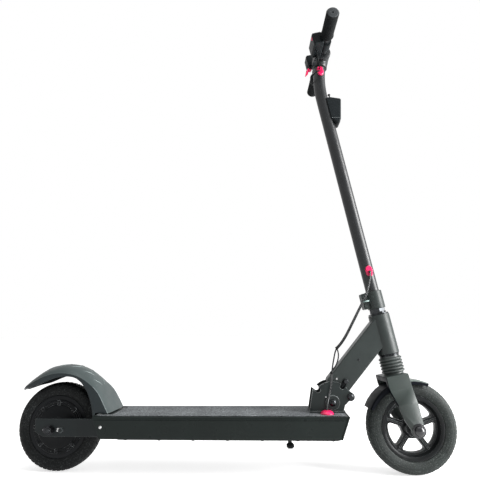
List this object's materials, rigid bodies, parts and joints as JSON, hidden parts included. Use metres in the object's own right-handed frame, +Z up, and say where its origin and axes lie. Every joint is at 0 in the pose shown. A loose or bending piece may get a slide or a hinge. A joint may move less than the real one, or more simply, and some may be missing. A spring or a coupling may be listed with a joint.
{
  "type": "electric scooter",
  "caption": "Folding electric kick scooter with rear hub motor, sprung fork, thumb throttle, foot-brake fender and stowed kickstand.",
  "frame": {"origin": "On the floor, in the middle of the bounding box.", "axes": "+X forward, +Y to the scooter's left, +Z up. The steering rests turned a few degrees to the left."},
  "size_m": [1.105, 0.381, 1.1793],
  "materials": {
    "deck_paint": "satin paint",
    "arm_paint": "satin paint",
    "fork_paint": "satin paint",
    "black_paint": "satin paint",
    "casing": "cast, satin paint",
    "black_plastic": "fine grain",
    "rubber": "matte",
    "tyre_rubber": "matte",
    "grip_tape": "gritty",
    "steel": "brushed",
    "dark_steel": "blackened",
    "windings": "enamelled copper",
    "battery_wrap": "shrink wrap",
    "crimson_plastic": "satin",
    "clear_plastic": "clear"
  },
  "bodies": {
    "frame": {"deck_channel": "deck_paint", "grip_tape": "grip_tape", "bottom_cover": "black_paint", "front_cap": "deck_paint", "battery_pack": "battery_wrap", "motor_controller": "steel", "dropout_right": "arm_paint", "dropout_left": "arm_paint", "hinge_bracket": "arm_paint", "pivot_bolt": "dark_steel", "stop_bolt": "dark_steel", "rear_axle": "steel", "axle_nut_right": "dark_steel", "axle_nut_left": "dark_steel", "motor_stator": "windings", "deck_grommet": "crimson_plastic", "kickstand_bracket": "black_paint", "harness_lower": "rubber", "charge_port_cap": "rubber", "fender_bracket": "dark_steel"},
    "fender": {"rear_fender": "deck_paint"},
    "rear_wheel": {"motor_shell": "casing", "motor_cover_right": "casing", "rear_tyre": "tyre_rubber"},
    "kickstand": {"kickstand_leg": "black_paint", "kickstand_foot": "rubber"},
    "arm": {"fold_arm": "arm_paint", "headset_cup_top": "steel", "headset_cup_bottom": "steel", "harness_loop": "rubber"},
    "lock": {"lock_pin": "steel"},
    "steering": {"steerer_tube": "steel", "headset_nut": "steel", "stem_clamp": "arm_paint", "stem_tube": "black_paint", "handlebar_tube": "black_paint", "bar_clamp": "black_paint", "grip_right": "rubber", "grip_left": "rubber", "display_housing": "black_plastic", "brake_housing": "black_plastic", "headlight_housing": "black_plastic", "headlight_lens": "clear_plastic", "stem_grommet_top": "crimson_plastic", "stem_grommet_low": "crimson_plastic", "control_cable_right": "rubber", "control_cable_left": "rubber", "harness_upper": "rubber", "suspension_spring": "steel"},
    "throttle": {"throttle_lever": "black_plastic"},
    "brake": {"brake_lever": "crimson_plastic"},
    "button": {"power_button": "crimson_plastic"},
    "sprung_fork": {"fork": "fork_paint", "front_fender": "black_plastic", "front_axle": "steel", "front_nut_right": "dark_steel", "front_nut_left": "dark_steel", "bellows": "rubber"},
    "front_wheel": {"front_rim": "black_paint", "front_tyre": "tyre_rubber"}
  },
  "joints": [
    {"name": "fold", "type": "hinge", "parent": "frame", "child": "arm", "pos_m": [0.2551, 0, 0.1673], "axis": [0, -1, 0], "range_deg": [0, 84]},
    {"name": "lock_slide", "type": "slide", "parent": "arm", "child": "lock", "axis": [-0.5736, 0, -0.8191], "range_m": [0, 0.0157]},
    {"name": "steer", "type": "hinge", "parent": "arm", "child": "steering", "pos_m": [0.45733, 0, 0], "axis": [-0.1807, 0, 0.9835], "range_deg": [-63.8, 56.2]},
    {"name": "suspension", "type": "slide", "parent": "steering", "child": "sprung_fork", "axis": [-0.1807, 0, 0.9835], "range_m": [0, 0.02], "stiffness_N_per_m": 12000, "springref_m": -0.012, "deforming": ["suspension_spring", "bellows"]},
    {"name": "front_spin", "type": "hinge", "parent": "sprung_fork", "child": "front_wheel", "pos_m": [0.44449, 0.00046, 0.108], "axis": [-0.0652, 0.9978, -0.012], "continuous": true},
    {"name": "rear_spin", "type": "hinge", "parent": "frame", "child": "rear_wheel", "pos_m": [-0.4445, 0, 0.108], "axis": [0, 1, 0], "continuous": true},
    {"name": "fender_brake", "type": "hinge", "parent": "frame", "child": "fender", "pos_m": [-0.3185, 0, 0.151], "axis": [0, -1, 0], "range_deg": [0, 6], "stiffness_Nm_per_rad": 6, "springref_deg": -8.59},
    {"name": "kickstand_swing", "type": "hinge", "parent": "frame", "child": "kickstand", "pos_m": [0.1475, 0.046, 0.0737], "axis": [1, 0, 0], "range_deg": [0, 145]},
    {"name": "throttle_press", "type": "hinge", "parent": "steering", "child": "throttle", "pos_m": [0.26279, -0.0435, 1.10889], "axis": [0.0652, -0.9978, 0.012], "range_deg": [0, 30], "stiffness_Nm_per_rad": 0.25, "springref_deg": -17.19},
    {"name": "brake_press", "type": "hinge", "parent": "steering", "child": "brake", "pos_m": [0.24988, 0.06024, 1.13824], "axis": [0.0652, -0.9978, 0.012], "range_deg": [0, 25], "stiffness_Nm_per_rad": 0.3, "springref_deg": -17.19},
    {"name": "button_press", "type": "slide", "parent": "steering", "child": "button", "axis": [0.9814, 0.0663, 0.1803], "range_m": [0, 0.0012], "stiffness_N_per_m": 1500, "springref_m": -0.0008}
  ]
}
